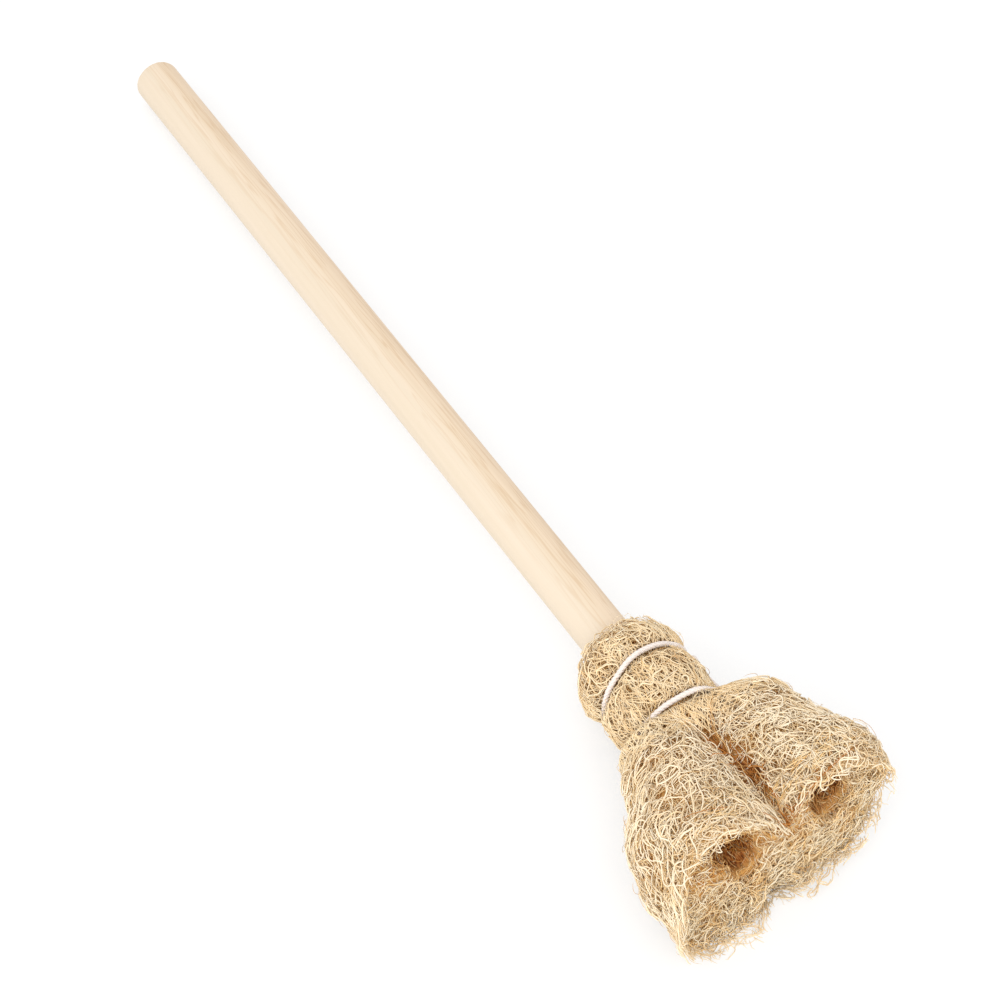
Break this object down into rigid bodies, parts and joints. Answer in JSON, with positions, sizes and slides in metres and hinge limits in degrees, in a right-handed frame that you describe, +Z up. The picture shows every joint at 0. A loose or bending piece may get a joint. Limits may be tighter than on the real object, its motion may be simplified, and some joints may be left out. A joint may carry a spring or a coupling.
{
  "type": "teapot spout brush",
  "caption": "Slim wooden stick with a gathered natural loofah head, bound at its neck with cotton string, for scrubbing spouts and other small necks.",
  "frame": {"origin": "middle of the footprint, on the table: the brush lies on the rim of the stick's sawn end and on the underside of its head", "axes": "+X along the brush from the sawn end towards the head, rising by the brush's small slope; +Y across the brush towards its right lobe; +Z up from the table"},
  "size_m": [0.2698, 0.0518, 0.0287],
  "materials": {
    "wood": "sanded, unfinished",
    "loofah": "dry open fibre",
    "cotton": "matte twisted string"
  },
  "bodies": {
    "root": {"handle": "wood", "loofah": "loofah", "tie_string": "cotton"}
  },
  "joints": []
}
